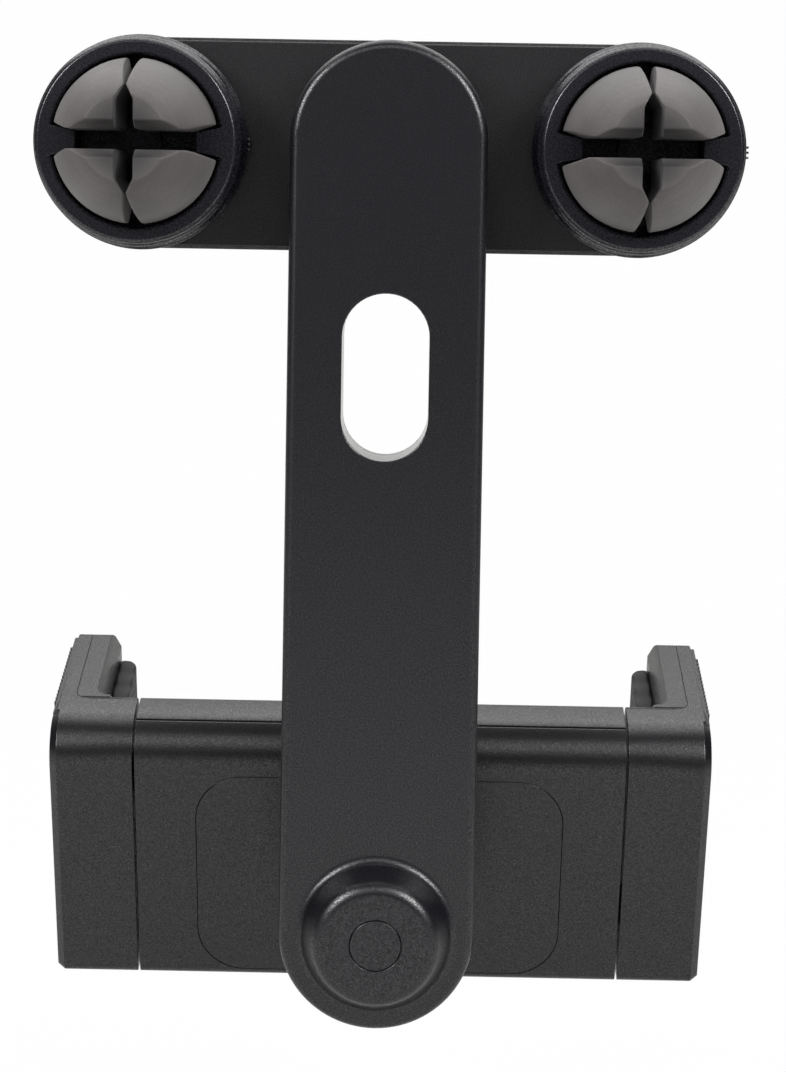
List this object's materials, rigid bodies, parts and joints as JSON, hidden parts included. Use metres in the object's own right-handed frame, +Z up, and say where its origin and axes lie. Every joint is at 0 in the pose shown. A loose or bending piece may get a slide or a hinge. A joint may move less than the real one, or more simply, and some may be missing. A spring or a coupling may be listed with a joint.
{
  "type": "air vent phone holder",
  "caption": "Phone holder that grips the vanes of a car's air vent with swivelling finger clips on a bar; a slotted arm carries a ball-jointed cradle with sprung sliding jaws.",
  "frame": {"origin": "midway between the two vent clips' axes, in the plane of their collars' stop faces", "axes": "X along the bar, +Y from the vent towards the driver, +Z up towards the bar's top"},
  "size_m": [0.0911, 0.0646, 0.1274],
  "materials": {
    "black_abs": "moulded ABS, fine satin texture",
    "graphite_abs": "moulded ABS, fine satin texture",
    "cradle_abs": "moulded ABS, fine spark texture",
    "clip_abs": "moulded ABS, satin",
    "grey_rubber": "matte overmoulded thermoplastic rubber",
    "black_rubber": "matte moulded rubber",
    "black_nylon": "moulded nylon",
    "acetal": "moulded acetal",
    "steel": "zinc-plated turned steel",
    "spring_steel": "drawn spring steel"
  },
  "bodies": {
    "arm": {"bar_housing": "black_abs", "bar_cover": "black_abs", "bar_cover_screws": "steel", "arm_bar_screws": "steel", "arm_shell": "graphite_abs", "arm_cover": "graphite_abs", "arm_cover_screws": "steel", "dome_plug": "graphite_abs", "socket_spring": "spring_steel", "socket_ring": "black_abs"},
    "left_clip": {"left_clip_collar": "clip_abs", "left_clip_core": "clip_abs", "left_clip_boots": "grey_rubber", "left_clip_washer": "steel", "left_clip_screw": "steel"},
    "right_clip": {"right_clip_collar": "clip_abs", "right_clip_core": "clip_abs", "right_clip_boots": "grey_rubber", "right_clip_washer": "steel", "right_clip_screw": "steel"},
    "ball_cup": {"friction_cup": "acetal"},
    "ball_shell": {"ball_liner": "acetal"},
    "cradle": {"ball_stud": "black_nylon", "stud_screw": "steel", "joint_panel": "cradle_abs", "rear_shell": "cradle_abs", "front_shell": "cradle_abs", "shell_screws": "steel", "front_pad": "black_rubber", "pinion_pin": "steel", "left_jaw_spring": "spring_steel", "right_jaw_spring": "spring_steel"},
    "pinion_gear": {"pinion": "acetal"},
    "left_jaw": {"left_jaw_shell": "cradle_abs", "left_jaw_liner": "cradle_abs", "left_jaw_pad": "black_rubber", "left_jaw_rack": "acetal", "left_jaw_screw": "steel"},
    "right_jaw": {"right_jaw_shell": "cradle_abs", "right_jaw_liner": "cradle_abs", "right_jaw_pad": "black_rubber", "right_jaw_rack": "acetal", "right_jaw_screw": "steel"}
  },
  "joints": [
    {"name": "left_clip_turn", "type": "hinge", "parent": "arm", "child": "left_clip", "pos_m": [-0.03175, 0, 0], "axis": [0, 1, 0], "range_deg": [-90, 90]},
    {"name": "right_clip_turn", "type": "hinge", "parent": "arm", "child": "right_clip", "pos_m": [0.03175, 0, 0], "axis": [0, 1, 0], "range_deg": [-90, 90]},
    {"name": "ball_roll", "type": "hinge", "parent": "arm", "child": "ball_cup", "pos_m": [0, 0.0046, -0.1012], "axis": [0, 1, 0], "range_deg": [-180, 180]},
    {"name": "ball_tilt", "type": "hinge", "parent": "ball_cup", "child": "ball_shell", "pos_m": [0, 0.0046, -0.1012], "axis": [1, 0, 0], "range_deg": [-36, 4]},
    {"name": "ball_swing", "type": "hinge", "parent": "ball_shell", "child": "cradle", "pos_m": [0, 0.0046, -0.1012], "axis": [0, -0.2756, 0.9613], "range_deg": [-12, 12]},
    {"name": "left_jaw_slide", "type": "slide", "parent": "cradle", "child": "left_jaw", "axis": [-1, 0, 0], "range_m": [0, 0.0125], "stiffness_N_per_m": 160, "springref_m": -0.012, "deforming": ["left_jaw_spring"]},
    {"name": "right_jaw_slide", "type": "slide", "parent": "cradle", "child": "right_jaw", "axis": [1, 0, 0], "range_m": [0, 0.0125], "stiffness_N_per_m": 160, "springref_m": -0.012, "deforming": ["right_jaw_spring"]},
    {"name": "pinion_turn", "type": "hinge", "parent": "cradle", "child": "pinion_gear", "pos_m": [0, 0.02194, -0.0942], "axis": [0, 0.9613, 0.2756], "range_deg": [-125, 5]}
  ],
  "couplings": [
    {"joint": "right_jaw_slide", "follows": "left_jaw_slide", "ratio": 1},
    {"joint": "pinion_turn", "follows": "left_jaw_slide", "rad_per_m": -166.67}
  ]
}
